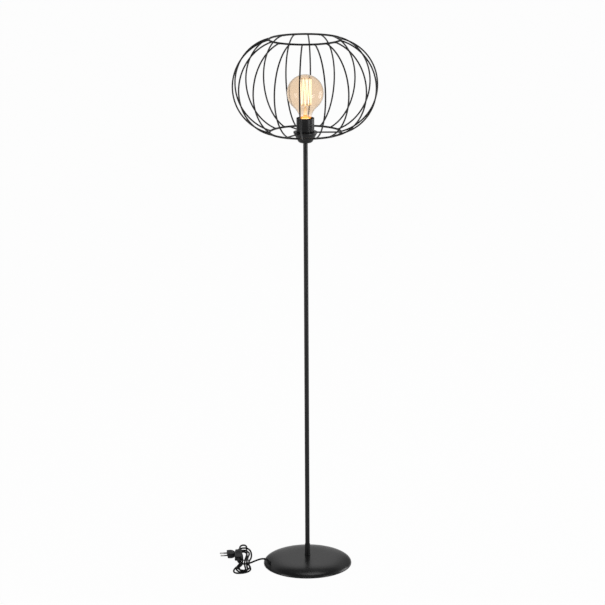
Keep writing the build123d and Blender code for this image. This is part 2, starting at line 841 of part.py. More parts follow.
cord_length = hank_length + switch_length
for name, points in (("cord_lead", lead_points), ("cord_loop", loop_points), ("cord_tail", tail_points)):
    cord_length += free_cord(name, points)
print(f"cord from the base to the plug: {cord_length:.0f} mm")

# ---------------------------------------------------------------- in-line switch
switch_low = switch_centre[2] - switch_height / 2
switch_high = switch_centre[2] + switch_height / 2
switch_at = (switch_centre[0], switch_centre[1])
pivot_level = switch_high - rocker_rise + rocker_dip + 0.1
post_reach = switch_length / 2 - 5.5
post_radius = 2.4
screw_radius = 0.9


def switch_half(low, high, outer_face):
    """One half of the switch's housing, hollow, with rounded corners and a rounded outer face."""
    with BuildPart(mode=Mode.PRIVATE) as half:
        with BuildSketch(Plane.XY.offset(low)):
            with Locations(switch_at):
                RectangleRounded(switch_width, switch_length, 5)
        extrude(amount=high - low)
        fillet(half.edges().group_by(Axis.Z)[outer_face], 1.2)
        inner_low = low + (switch_wall if outer_face == 0 else 0)
        with BuildSketch(Plane.XY.offset(inner_low)):
            with Locations(switch_at):
                inside = (switch_width - 2 * switch_wall, switch_length - 2 * switch_wall)
                RectangleRounded(*inside, 5 - switch_wall)
        extrude(amount=high - low - switch_wall, mode=Mode.SUBTRACT)
    return half


with BuildPart() as switch_base:
    add(switch_half(switch_low, switch_centre[2], 0).part)
    with BuildSketch(Plane.XY.offset(switch_low + switch_wall)):
        with Locations(switch_at):
            with GridLocations(0, 2 * post_reach, 1, 2):
                Circle(post_radius)
    extrude(amount=switch_height / 2 - switch_wall)
    with BuildSketch(Plane.XY.offset(switch_low)):
        with Locations(switch_at):
            with GridLocations(0, 2 * post_reach, 1, 2):
                Circle(screw_radius + fit)
    extrude(amount=switch_height / 2, mode=Mode.SUBTRACT)
    with BuildSketch(Plane.XY.offset(switch_low)):
        with Locations(switch_at):
            with GridLocations(0, 2 * post_reach, 1, 2):
                Circle(2 * screw_radius + fit)
    extrude(amount=1.5, mode=Mode.SUBTRACT)
save(switch_base, "switch_base")

with BuildPart() as switch_cover:
    add(switch_half(switch_centre[2], switch_high, -1).part)
    with BuildSketch(Plane.XY.offset(switch_centre[2])):
        with Locations(switch_at):
            with GridLocations(0, 2 * post_reach, 1, 2):
                Circle(post_radius)
                Circle(screw_radius + running, mode=Mode.SUBTRACT)
    extrude(amount=switch_height / 2 - switch_wall)
    ear_inside = rocker_width / 2 + fit + 0.1
    with BuildSketch(Plane.XY.offset(pivot_level - 2.2)):
        with Locations(switch_at):
            with GridLocations(2 * ear_inside + 1.5, 0, 2, 1):
                Rectangle(1.5, 4.4)
    extrude(amount=switch_high - switch_wall - pivot_level + 2.2)
    with BuildSketch(Plane.XY.offset(switch_high - switch_wall)):
        with Locations(switch_at):
            Rectangle(2 * ear_inside, rocker_length + 1.6)
    extrude(amount=switch_wall, mode=Mode.SUBTRACT)
    pivot_reach = switch_width / 2 - switch_wall
    with BuildSketch(Plane(origin=(*switch_at, pivot_level), z_dir=(1, 0, 0)).offset(-pivot_reach)):
        Circle(rocker_pin_radius + running)
    extrude(amount=2 * pivot_reach, mode=Mode.SUBTRACT)
save(switch_cover, "switch_cover")

rocker_frame = Plane(
    origin=(*switch_at, pivot_level),
    x_dir=(0, cos(radians(rocker_tilt)), sin(radians(rocker_tilt))),
    z_dir=(1, 0, 0),
)
rocker_foot = 2.6
with BuildPart() as switch_rocker:
    reach = rocker_length / 2
    with BuildSketch(rocker_frame.offset(-rocker_width / 2)):
        with BuildLine():
            ThreePointArc((-reach, rocker_rise), (0, rocker_rise - rocker_dip), (reach, rocker_rise))
            Polyline(
                (reach, rocker_rise),
                (reach - 0.9, -0.6),
                (reach / 2, -rocker_foot),
                (-reach / 2, -rocker_foot),
                (0.9 - reach, -0.6),
                (-reach, rocker_rise),
            )
        make_face()
    extrude(amount=rocker_width)
    with BuildSketch(rocker_frame.offset(-ear_inside - 1.4)):
        Circle(rocker_pin_radius)
    extrude(amount=2 * (ear_inside + 1.4))
save(switch_rocker, "switch_rocker")

blade_reach = 6.0
blade_sheet = 0.5
with BuildPart() as rocker_blade:
    with BuildSketch(rocker_frame.offset(-1.5)):
        with Locations((0, -rocker_foot - blade_sheet / 2)):
            Rectangle(2 * blade_reach, blade_sheet)
    extrude(amount=3)
save(rocker_blade, "rocker_blade")

blade_under = rocker_foot + blade_sheet
tip_level = pivot_level - blade_under * cos(radians(rocker_tilt)) - blade_reach * sin(radians(rocker_tilt))
with BuildPart() as switch_contacts:
    for reach, top in ((0, pivot_level - blade_under - 0.15), (blade_reach - 1.2, tip_level - 0.05)):
        with BuildSketch(Plane.XY.offset(switch_low + switch_wall)):
            with Locations((switch_at[0], switch_at[1] + reach)):
                Rectangle(3.5, 1.6)
        extrude(amount=top - switch_low - switch_wall)
save(switch_contacts, "switch_contacts")

with BuildPart() as switch_screws:
    with BuildSketch(Plane.XY.offset(switch_low + 0.4)):
        with Locations(switch_at):
            with GridLocations(0, 2 * post_reach, 1, 2):
                Circle(2 * screw_radius)
    extrude(amount=1.1)
    with BuildSketch(Plane.XY.offset(switch_low + 0.4)):
        with Locations(switch_at):
            with GridLocations(0, 2 * post_reach, 1, 2):
                Rectangle(3.0, 0.5)
                Rectangle(0.5, 3.0)
    extrude(amount=0.6, mode=Mode.SUBTRACT)
    with BuildSketch(Plane.XY.offset(switch_low + 1.5)):
        with Locations(switch_at):
            with GridLocations(0, 2 * post_reach, 1, 2):
                Circle(screw_radius)
    extrude(amount=switch_height - switch_wall - 2.5)
save(switch_screws, "switch_screws")

# ---------------------------------------------------------------- plug
plug_floor = Plane(origin=(*plug_nose_at, plug_lift), x_dir=plug_heading, z_dir=(0, 0, 1))
plug_axis = Plane(origin=plug_nose, z_dir=plug_heading, x_dir=(0, 0, 1))

with BuildPart() as plug_body:
    with BuildSketch(plug_floor):
        with BuildLine():
            Polyline(
                (plug_length, plug_width / 2),
                (plug_length - plug_waist, plug_width / 2),
                (plug_back, plug_back_width / 2),
                (plug_back, -plug_back_width / 2),
                (plug_length - plug_waist, -plug_width / 2),
                (plug_length, -plug_width / 2),
                close=True,
            )
        make_face()
    extrude(amount=plug_thickness)
    fillet(plug_body.edges().filter_by(Axis.Z), 2)
    fillet(plug_body.edges().group_by(Axis.Z)[0] + plug_body.edges().group_by(Axis.Z)[-1], 1.5)
    with BuildSketch(plug_axis):
        Circle(plug_nose_radius)
    extrude(amount=plug_nose_length, taper=-5)
    with BuildSketch(plug_axis.offset(plug_length)):
        with GridLocations(0, pin_spacing, 1, 2):
            Circle(pin_radius / 2)
    extrude(amount=-pin_root, mode=Mode.SUBTRACT)
save(plug_body, "plug_body")

with BuildPart() as pin_sleeves:
    with BuildSketch(plug_axis.offset(plug_length)):
        with GridLocations(0, pin_spacing, 1, 2):
            Circle(pin_sleeve_radius)
            Circle(pin_radius / 2, mode=Mode.SUBTRACT)
    extrude(amount=pin_sleeve_length)
save(pin_sleeves, "pin_sleeves")

with BuildPart() as plug_pins:
    with BuildSketch(plug_axis.offset(plug_length + pin_sleeve_length)):
        with GridLocations(0, pin_spacing, 1, 2):
            Circle(pin_radius)
    extrude(amount=pin_length - pin_sleeve_length)
    pin_tips = plug_pins.faces().sort_by(lambda face: face.center().dot(plug_heading))[-2:]
    fillet(pin_tips.edges(), pin_radius * 0.8)
    with BuildSketch(plug_axis.offset(plug_length - pin_root)):
        with GridLocations(0, pin_spacing, 1, 2):
            Circle(pin_radius / 2 - running)
    extrude(amount=pin_sleeve_length + pin_root)
save(plug_pins, "plug_pins")
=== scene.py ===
import json
import math
import bmesh
import bpy
from mathutils import Matrix, Vector


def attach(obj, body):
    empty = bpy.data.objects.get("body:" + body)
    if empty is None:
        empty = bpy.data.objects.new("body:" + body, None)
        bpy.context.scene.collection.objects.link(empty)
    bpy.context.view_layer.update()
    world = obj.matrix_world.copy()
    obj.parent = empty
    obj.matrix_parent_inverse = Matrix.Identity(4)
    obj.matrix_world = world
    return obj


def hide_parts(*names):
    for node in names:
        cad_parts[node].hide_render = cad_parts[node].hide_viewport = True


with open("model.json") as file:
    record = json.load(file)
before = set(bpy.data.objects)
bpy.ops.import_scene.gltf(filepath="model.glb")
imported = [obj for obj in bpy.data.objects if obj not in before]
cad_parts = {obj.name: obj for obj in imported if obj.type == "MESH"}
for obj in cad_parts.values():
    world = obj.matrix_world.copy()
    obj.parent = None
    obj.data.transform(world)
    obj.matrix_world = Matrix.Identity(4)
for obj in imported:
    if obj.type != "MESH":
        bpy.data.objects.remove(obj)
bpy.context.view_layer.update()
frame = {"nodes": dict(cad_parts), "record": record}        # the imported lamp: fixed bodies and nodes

scene = bpy.context.scene
nodes = frame["nodes"]
print("frame loaded:", len(nodes), "nodes")

# the photograph's camera
photoView = {
    "distance": 6.0,
    "height": 2.30637,
    "tiltDown": 14.76,
    "roll": 0.29,
    "focalPixels": 2370.18,
    "sensor": 36,
    "picture": 605,
    "axisX": 306.26,
}


def placeCamera(view):
    lens = bpy.data.cameras.new("photoCamera")
    lens.sensor_width = view["sensor"]
    lens.lens = view["sensor"] * view["focalPixels"] / view["picture"]
    lens.shift_x = (view["picture"] / 2 - view["axisX"]) / view["picture"]
    lens.clip_end = 100
    camera = bpy.data.objects.new("photoCamera", lens)
    scene.collection.objects.link(camera)
    tilt = Matrix.Rotation(math.radians(90 - view["tiltDown"]), 4, "X")
    roll = Matrix.Rotation(math.radians(-view["roll"]), 4, "Z")
    camera.matrix_world = Matrix.Translation((0, -view["distance"], view["height"])) @ tilt @ roll
    scene.camera = camera


placeCamera(photoView)
print("camera placed")


# shader values that add up as ordinary sums
class Wire:
    def __init__(self, finish, socket):
        self.finish = finish
        self.socket = socket

    def maths(self, kind, *values):
        return self.finish.add("ShaderNodeMath", {"operation": kind}, dict(enumerate(values)))

    def __add__(self, other):
        return self.maths("ADD", self, other)

    def __radd__(self, other):
        return self.maths("ADD", other, self)

    def __sub__(self, other):
        return self.maths("SUBTRACT", self, other)

    def __rsub__(self, other):
        return self.maths("SUBTRACT", other, self)

    def __mul__(self, other):
        return self.maths("MULTIPLY", self, other)

    def __rmul__(self, other):
        return self.maths("MULTIPLY", other, self)

    def larger(self, other):
        return self.maths("MAXIMUM", self, other)


class Finish:
    def __init__(self, name, world=False):
        self.material = bpy.data.worlds.new(name) if world else bpy.data.materials.new(name)
        self.material.use_nodes = True
        self.tree = self.material.node_tree
        self.tree.nodes.clear()
        self.end = self.tree.nodes.new("ShaderNodeOutputWorld" if world else "ShaderNodeOutputMaterial")
        self.place = self.add("ShaderNodeTexCoord", output="Generated" if world else "Object")

    def add(self, kind, settings=None, values=None, output=0):
        node = self.tree.nodes.new(kind)
        for key, value in (settings or {}).items():
            if key == "stops":
                ramp = node.color_ramp
                while len(ramp.elements) < len(value):
                    ramp.elements.new(0.5)
                for element, (position, colour) in zip(ramp.elements, value):
                    element.position = position
                    element.color = colour
            else:
                setattr(node, key, value)
        for key, value in (values or {}).items():
            if isinstance(value, Wire):
                self.tree.links.new(value.socket, node.inputs[key])
            else:
                node.inputs[key].default_value = value
        return Wire(self, node.outputs[output])

    def noise(self, size, detail, place=None):           # size is the grain's, in metres
        values = {"Vector": place or self.place, "Scale": 1 / size, "Detail": detail}
        return self.add("ShaderNodeTexNoise", None, values)

    def stretch(self, x, y, z):                          # the place, drawn out along some axes
        return self.add("ShaderNodeMapping", None, {"Vector": self.place, "Scale": (x, y, z)})

    def part(self, axis):
        return self.add("ShaderNodeSeparateXYZ", None, {"Vector": self.place}, axis)

    def limit(self, value, low, high, toLow=0.0, toHigh=1.0):
        values = {"Value": value, 1: low, 2: high, 3: toLow, 4: toHigh}
        return self.add("ShaderNodeMapRange", {"clamp": True}, values)

    def blend(self, share, first, second):
        values = {0: share, 6: (*first, 1) if isinstance(first, tuple) else first}
        values[7] = (*second, 1) if isinstance(second, tuple) else second
        return self.add("ShaderNodeMix", {"data_type": "RGBA"}, values, 2)

    def bump(self, height, depth, strength):
        values = {"Height": height, "Distance": depth, "Strength": strength}
        return self.add("ShaderNodeBump", None, values)

    def surface(self, **values):
        named = {}
        for key, value in values.items():
            words = "".join(" " + letter if letter.isupper() else letter for letter in key)
            name = words[0].upper() + words[1:]
            named[name.replace("I O R", "IOR")] = value
        shader = self.add("ShaderNodeBsdfPrincipled", None, named)
        self.tree.links.new(shader.socket, self.end.inputs["Surface"])
        return self.material


def scaled(tone, share):
    return tuple(part * share for part in tone)


# what each kind of finish adds to its look: paler and darker patches, uneven gloss, depth of grain
paintDrift = {
    "dark": 0.8,
    "light": 1.25,
    # painted shade at the holder's mouth: its tone, the width of its edge and how much duller it makes the
    # paint
    "sootTone": (0.002, 0.002, 0.002),
    "sootEdge": 0.0006,
    "smoother": 0.05,
    "cloudRough": 0.06,
    "grainRough": 0.05,
    "paintedShadeRough": 0.5,
    "grainDepth": 0.25,
}
metalDrift = {
    "dark": 0.72,
    "cloud": 0.012,
    "cloudRange": (0.3, 0.7),
    "lineRough": 0.1,
    "lineDepth": 0.2,
    "relief": 0.25,
}
plasticDrift = {"light": 1.3, "cloud": 0.02, "grainRough": 0.08, "grainDepth": 0.3}
glassDrift = {"deep": 0.97, "streak": 0.03, "edgeBlend": 0.35, "edgeRange": (0.45, 0.95), "bending": 1.45}


def powderCoat(name, values):
    finish = Finish(name)
    drift = paintDrift
    cloud = finish.noise(values["cloud"], detail=3)
    grain = finish.noise(values["grain"], detail=2)
    dark = scaled(values["tone"], drift["dark"])
    light = scaled(values["tone"], drift["light"])
    low, high = values["sootFrom"], values["sootTo"]      # the holder's mouth is painted darker, a painted shade of the recess at its rim, and made duller
    edge = drift["sootEdge"]
    height = finish.part("Z")
    # painted shade: a dark band at the mouth's height, standing in for the shade of a recess
    paintedShade = finish.limit(height, low, low + edge) * finish.limit(height, high, high + edge, 1.0, 0.0)
    rough = values["rough"] - drift["smoother"] + drift["cloudRough"] * cloud
    rough = rough + drift["grainRough"] * grain + drift["paintedShadeRough"] * paintedShade
    return finish.surface(
        baseColor=finish.blend(paintedShade, finish.blend(cloud, dark, light), drift["sootTone"]),
        roughness=rough,
        specularIORLevel=values["gloss"],
        normal=finish.bump(grain, values["grain"] * drift["grainDepth"], values["relief"]),
    )


def metal(name, values):
    finish = Finish(name)
    drift = metalDrift
    lines = finish.noise(values["grain"], detail=3, place=finish.stretch(*values["brush"]))
    cloud = finish.limit(finish.noise(drift["cloud"], detail=3), *drift["cloudRange"])
    return finish.surface(
        baseColor=finish.blend(cloud, scaled(values["tone"], drift["dark"]), values["tone"]),
        metallic=1.0,
        roughness=values["rough"] + drift["lineRough"] * lines,
        normal=finish.bump(lines, values["grain"] * drift["lineDepth"], drift["relief"]),
    )


def plastic(name, values):
    finish = Finish(name)
    drift = plasticDrift
    grain = finish.noise(values["grain"], detail=3)
    cloud = finish.noise(drift["cloud"], detail=2)
    return finish.surface(
        baseColor=finish.blend(cloud, values["tone"], scaled(values["tone"], drift["light"])),
        roughness=values["rough"] + drift["grainRough"] * grain,
        specularIORLevel=values["gloss"],
        normal=finish.bump(grain, values["grain"] * drift["grainDepth"], values["relief"]),
    )


def feltFinish(name, values):
    finish = Finish(name)
    fibre = finish.noise(values["fibre"], detail=6)
    return finish.surface(
        baseColor=finish.blend(fibre, values["dark"], values["light"]),
        roughness=values["rough"],
        sheenWeight=values["sheen"],
        normal=finish.bump(fibre, values["depth"], values["relief"]),
    )


def castFinish(name, values):
    finish = Finish(name)
    pits = finish.noise(values["pits"], detail=5)
    rust = finish.limit(finish.noise(values["rustPatch"], detail=4), *values["rustRange"])
    grey = finish.blend(pits, values["dark"], values["light"])
    return finish.surface(
        baseColor=finish.blend(rust * values["rustShare"], grey, values["rust"]),
        metallic=values["metal"],
        roughness=values["rough"] + values["pitRough"] * pits,
        normal=finish.bump(pits, values["depth"], values["relief"]),
    )


def glassFinish(name, values):
    finish = Finish(name)
    drift = glassDrift
    height = finish.part("Z")
    tinted = finish.limit(height, values["clearBelow"], values["tintAbove"])
    # painted light: the glass glows warm by height, painting the filament's glow onto it, though glass is
    # no lamp
    warm = finish.limit(height, values["warmTo"], values["warmFrom"])
    edge = finish.add("ShaderNodeLayerWeight", None, {"Blend": drift["edgeBlend"]}, "Facing")
    streak = finish.noise(drift["streak"], detail=1)
    amber = finish.blend(streak, scaled(values["tint"], drift["deep"]), values["tint"])
    amber = finish.blend(finish.limit(edge, *drift["edgeRange"]), amber, values["edge"])
    return finish.surface(
        baseColor=finish.blend(tinted, values["clear"], amber),
        roughness=values["haze"],
        iOR=drift["bending"],
        transmissionWeight=1.0,
        emissionColor=finish.blend(warm, (0, 0, 0), values["warm"]),
        emissionStrength=values["glow"],
    )


def glowFinish(name, values):
    finish = Finish(name)
    patch = finish.limit(finish.noise(values["patch"], detail=1), *values["patchRange"])
    middle = finish.limit(finish.part("Z"), values["coolBelow"], values["hotAbove"])
    hot = finish.blend(patch, values["cream"], values["white"])
    return finish.surface(
        baseColor=values["cold"],
        roughness=values["rough"],
        emissionColor=finish.blend(middle, values["warm"], hot),
        emissionStrength=values["strength"],
    )


coatLook = {
    "tone": (0.007, 0.007, 0.0075),
    "rough": 0.34,
    "gloss": 0.36,
    "grain": 0.0006,
    "relief": 0.3,
    "cloud": 0.05,
    # heights of the band of painted shade at the holder's mouth
    "sootFrom": 1.2147,
    "sootTo": 1.2160,
}
baseLook = {
    **coatLook,
    "tone": (0.010, 0.010, 0.0105),
    "rough": 0.24,
    "gloss": 0.46,
    "grain": 0.0007,
    "cloud": 0.04,
}
castLook = {
    "dark": (0.09, 0.09, 0.092),
    "light": (0.2, 0.2, 0.2),
    "rust": (0.14, 0.07, 0.035),
    "rustPatch": 0.03,
    "rustRange": (0.55, 0.7),
    "rustShare": 0.5,
    "metal": 0.6,
    "rough": 0.55,
    "pits": 0.0025,
    "pitRough": 0.25,
    "depth": 0.0006,
    "relief": 0.7,
}
feltLook = {
    "dark": (0.012, 0.012, 0.013),
    "light": (0.05, 0.05, 0.052),
    "rough": 0.95,
    "sheen": 0.4,
    "fibre": 0.0011,
    "depth": 0.0004,
    "relief": 0.8,
}
zincLook = {"tone": (0.58, 0.57, 0.54), "rough": 0.3, "grain": 0.0004, "brush": (1, 1, 6)}
brassLook = {"tone": (0.78, 0.56, 0.25), "rough": 0.24, "grain": 0.0004, "brush": (1, 1, 8)}
pinLook = {"tone": (0.8, 0.79, 0.77), "rough": 0.22, "grain": 0.0003, "brush": (8, 1, 1)}
plasticLook = {"tone": (0.008, 0.008, 0.0085), "rough": 0.42, "gloss": 0.28, "grain": 0.0004, "relief": 0.3}
sheathLook = {"tone": (0.005, 0.005, 0.0055), "rough": 0.5, "gloss": 0.2, "grain": 0.0005, "relief": 0.12}
rubberLook = {"tone": (0.009, 0.009, 0.009), "rough": 0.6, "gloss": 0.28, "grain": 0.0005, "relief": 0.3}
bakeliteLook = {"tone": (0.012, 0.010, 0.009), "rough": 0.34, "gloss": 0.45, "grain": 0.0009, "relief": 0.2}
vitriteLook = {"tone": (0.01, 0.01, 0.016), "rough": 0.12, "gloss": 0.5, "grain": 0.002, "relief": 0.1}
amberLook = {
    "tint": (0.95, 0.82, 0.68),
    "edge": (0.78, 0.60, 0.42),
    "clear": (0.98, 0.95, 0.92),
    "clearBelow": 1.216,
    "tintAbove": 1.232,
    # painted glow on the neck by the cap: its colour, heights and strength
    "warm": (1.0, 0.36, 0.04),
    "warmFrom": 1.2135,
    "warmTo": 1.2235,
    "glow": 0.35,
    "haze": 0.05,
}
stemLook = {
    "tint": (0.98, 0.93, 0.84),
    "edge": (0.9, 0.8, 0.62),
    "clear": (0.97, 0.95, 0.92),
    "clearBelow": 1.0,
    "tintAbove": 1.1,
    # painted glow on the stem: its colour, heights and strength
    "warm": (1.0, 0.55, 0.12),
    "warmFrom": 1.222,
    "warmTo": 1.262,
    "glow": 0.28,
    "haze": 0.0,
}
glowLook = {
    "warm": (1.0, 0.62, 0.2),
    "cream": (1.0, 0.86, 0.55),
    "white": (1.0, 0.93, 0.72),
    "coolBelow": 1.249,
    "hotAbove": 1.254,
    "strength": 2.4,
    "patch": 0.004,
    "patchRange": (0.3, 0.7),
    "cold": (0.2, 0.15, 0.1, 1),
    "rough": 0.6,
}

finishes = {
    "black_paint": powderCoat("satinCoat", coatLook),
    "base_paint": powderCoat("baseCoat", baseLook),
    "weight_iron": castFinish("castWeight", castLook),
    "felt": feltFinish("underFelt", feltLook),
    "zinc_steel": metal("zincPlate", zincLook),
    "black_rubber": plastic("rubberBush", rubberLook),
    "cord_sheath": plastic("cordSheath", sheathLook),
    "bakelite": plastic("holderBody", bakeliteLook),
    "brass": metal("bareBrass", brassLook),
    "cap_metal": metal("capBrass", brassLook),
    "amber_glass": glassFinish("amberGlass", amberLook),
    "stem_glass": glassFinish("stemGlass", stemLook),
    "black_glass": plastic("footGlass", vitriteLook),
    "filament": glowFinish("hotWire", glowLook),
    "support_wire": metal("hookWire", brassLook),
    "black_plastic": plastic("mouldedBlack", plasticLook),
    "pin_metal": metal("pinNickel", pinLook),
}
print("finishes made:", len(finishes))


def dress(piece, slotName, body="lamp"):
    if piece.name not in scene.collection.objects:
        scene.collection.objects.link(piece)
    piece.data.materials.clear()
    piece.data.materials.append(finishes[slotName])
    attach(piece, body)
    return piece


def madePiece(name, shape):
    mesh = bpy.data.meshes.new(name)
    shape.to_mesh(mesh)
    shape.free()
    return bpy.data.objects.new(name, mesh)


# the cord's points are in metres, as in the part's own routes
hank = {
    "centre": (-0.171, -0.008),
    "turns": 3,
    "width": 0.0046,
    "pitch": 0.0053,
    "waistPitch": 0.0056,
    "waist": 0.010,
    "halfTie": 0.0046,
    "lobes": [                       # half width, reach, lean and shoulders: up, down, up, down
        (0.0163, 0.098, -0.0040, 1.6),
        (0.0150, 0.066, -0.0045, 1.6),
        (0.0096, 0.086, -0.0040, 1.6),
        (0.0085, 0.057, -0.0036, 1.5),
        (0.0090, 0.1365, -0.0050, 1.56),
        (0.0175, 0.066, 0.0, 1.5),
    ],
    "droops": [0, 0, 0, 0, 0.0046, 0],
    "lift": 0.0009,
    "level": 0.0024,
    "cut": 22.5,                     # half of an eighth turn, in degrees, at each shoulder
    "climbFrom": 1.25,               # turns before the end at which the cord starts to climb
    "climbRate": 6,
}


def hankPoints(values):
    points = []
    corner = math.tan(math.radians(values["cut"]))

    def put(turn, x, y, lift=0.0):
        climb = values["climbRate"] * (turn - values["turns"] + values["climbFrom"])
        level = values["level"] + values["pitch"] * min(1.0, max(0.0, climb)) + lift
        points.append((values["centre"][0] + x, values["centre"][1] + y, level))

    def waist(turn):
        return values["waist"] - values["waistPitch"] * min(turn, values["turns"] - turn)

    for number, (width, reach, lean, rounding) in enumerate(values["lobes"]):
        way = 1 if number % 2 == 0 else -1
        turn = number / 2
        foot = values["halfTie"]
        quarter = (reach - width - foot) / 4
        droop = -values["droops"][number]
        put(turn, -way * waist(turn), way * (foot + quarter), values["lift"])
        put(turn + 1 / 8, lean - way * width, way * (foot + 3 * quarter))
        shoulder = reach - width * (rounding - corner)
        put(turn + 1 / 8, lean - way * width, way * shoulder, droop)
        put(turn + 2 / 8, lean - way * corner * width, way * reach, droop)
        put(turn + 2 / 8, lean + way * corner * width, way * reach, droop)
        put(turn + 3 / 8, lean + way * width, way * shoulder, droop)
        put(turn + 3 / 8, lean + way * width, way * (foot + 3 * quarter))
        put(turn + 4 / 8, way * waist(turn + 0.5), way * (foot + quarter), values["lift"])
    return points


leadPoints = [
    (-0.10292, -0.03056, 0.01246),
    (-0.10664, -0.03167, 0.02058),
    (-0.11492, -0.03336, 0.02476),
    (-0.12492, -0.03476, 0.02536),
    (-0.13992, -0.03906, 0.02146),
    (-0.15400, -0.04450, 0.01700),
    (-0.17000, -0.05150, 0.01660),
    (-0.18250, -0.04650, 0.01720),
    (-0.18650, -0.03100, 0.01840),
    (-0.18650, -0.01600, 0.01840),
]
loopPoints = [
    (-0.18650, 0.04200, 0.01840),
    (-0.18650, 0.05300, 0.01840),
    (-0.18230, 0.06250, 0.01820),
    (-0.17350, 0.06800, 0.01770),
    (-0.16380, 0.06750, 0.01690),
    (-0.15660, 0.06150, 0.01400),
    (-0.15280, 0.05200, 0.00940),
    (-0.15200, 0.04100, 0.00480),
    (-0.15300, 0.03000, 0.00250),
    (-0.15550, 0.01700, 0.00270),
    (-0.15810, 0.00400, 0.00320),
    (-0.15850, -0.01200, 0.00330),
    (-0.15700, -0.02600, 0.00260),
    (-0.15340, -0.04000, 0.00240),
    (-0.15220, -0.05600, 0.00240),
    (-0.15750, -0.06900, 0.00240),
    (-0.16700, -0.07750, 0.00240),
    (-0.18000, -0.08150, 0.00240),
    (-0.19150, -0.08000, 0.00240),
    (-0.19700, -0.07100, 0.00240),
    (-0.19730, -0.05850, 0.00240),
    (-0.19460, -0.04600, 0.00240),
    (-0.18950, -0.03450, 0.00250),
    (-0.18350, -0.02400, 0.00290),
    (-0.18100, -0.01550, 0.00330),
    (-0.18100, -0.00800, 0.00330),
]
tailPoints = [
    (-0.18100, -0.00800, 0.00860),
    (-0.18100, 0.00200, 0.00860),
    (-0.18380, 0.01500, 0.00830),
    (-0.18600, 0.02800, 0.00800),
    (-0.18706, 0.04310, 0.00760),
    (-0.18706, 0.04826, 0.00750),
    (-0.19092, 0.05165, 0.00750),
    (-0.19350, 0.05130, 0.00750),
]


def wireCurve(name, lines, thick, ringSteps, bendSteps):
    curve = bpy.data.curves.new(name, "CURVE")
    curve.dimensions = "3D"
    curve.bevel_depth = thick / 2
    curve.bevel_resolution = ringSteps
    curve.use_fill_caps = True
    for points in lines:
        spline = curve.splines.new("NURBS")
        spline.points.add(len(points) - 1)
        for point, place in zip(spline.points, points):
            point.co = (*place, 1)
        spline.order_u = 3
        spline.use_endpoint_u = True
        spline.resolution_u = bendSteps
    return bpy.data.objects.new(name, curve)


def cordCurve(name, points, width):
    return dress(wireCurve(name, [points], width, ringSteps=5, bendSteps=8), "cord_sheath")


baseCord = cordCurve("baseCord", leadPoints, hank["width"])
plugRoute = loopPoints + hankPoints(hank) + tailPoints
plugCord = cordCurve("plugCord", plugRoute, hank["width"])
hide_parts("cord_lead")
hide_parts("cord_loop", "cord_hank", "cord_tail")


# tapered reliefs follow the cord out of each housing
def cordLine(points):
    curve = cordCurve("routeLine", points, 0)
    shown = curve.evaluated_get(bpy.context.evaluated_depsgraph_get())
    mesh = bpy.data.meshes.new_from_object(shown)
    line = [vertex.co.copy() for vertex in mesh.vertices]
    bpy.data.meshes.remove(mesh)
    bpy.data.curves.remove(curve.data)
    return line


def along(line, distance):
    for first, second in zip(line, line[1:]):
        step = (second - first).length
        if distance <= step:
            return first.lerp(second, distance / step)
        distance -= step
    return line[-1]


reliefs = {
    "baseRelief": {
        "line": leadPoints,
        "turned": False,
        "thick": 0.0037,
        "thin": 0.0027,
        "slot": "black_rubber",
    },
    "leadRelief": {
        "line": leadPoints,
        "turned": True,
        "thick": 0.0041,
        "thin": 0.0029,
        "slot": "black_plastic",
    },
    "loopRelief": {
        "line": loopPoints,
        "turned": False,
        "thick": 0.0041,
        "thin": 0.0029,
        "slot": "black_plastic",
    },
    "plugRelief": {
        "line": tailPoints,
        "turned": True,
        "thick": 0.0040,
        "thin": 0.0028,
        "slot": "black_plastic",
    },
}
reliefShape = {
    "length": 0.020,
    "inside": 0.0015,
    "ribs": 6,
    "groove": 0.0005,
    "taper": 0.8,
    "corners": 24,
    "stepsPerRib": 5,
    "reach": 0.0005,                 # how far to each side the cord's heading is taken
}


def tapered(name, values, shape):
    line = cordLine(values["line"])
    if values["turned"]:
        line.reverse()
    lead = (line[0] - line[1]).normalized()
    mould = bmesh.new()
    steps = shape["ribs"] * shape["stepsPerRib"]
    reach = shape["reach"]
    rings = []
    for step in range(-1, steps + 1):
        distance = shape["length"] * max(0, step) / steps
        middle = along(line, distance) if step >= 0 else line[0] + lead * shape["inside"]
        heading = (along(line, distance + reach) - along(line, max(0, distance - reach))).normalized()
        share = max(0, step) / steps
        radius = values["thick"] + (values["thin"] - values["thick"]) * share ** shape["taper"]
        if step % shape["stepsPerRib"] == 0 and 0 < step < steps:
            radius -= shape["groove"]
        turn = heading.to_track_quat("Z", "Y").to_matrix().to_4x4()
        ring = bmesh.ops.create_circle(
            mould,
            cap_ends=False,
            segments=shape["corners"],
            radius=radius,
            matrix=Matrix.Translation(middle) @ turn,
        )
        rings.append(set(ring["verts"]))
    loops = [[edge for edge in mould.edges if ring.issuperset(edge.verts)] for ring in rings]
    for first, second in zip(loops, loops[1:]):
        bmesh.ops.bridge_loops(mould, edges=first + second)
    for loop in (loops[0], loops[-1]):
        bmesh.ops.contextual_create(mould, geom=loop)
    bmesh.ops.recalc_face_normals(mould, faces=mould.faces)
    for face in mould.faces:
        face.smooth = len(face.verts) == 4
    return dress(madePiece(name, mould), values["slot"])


reliefPieces = {name: tapered(name, values, reliefShape) for name, values in reliefs.items()}
print("reliefs shaped:", len(reliefPieces))

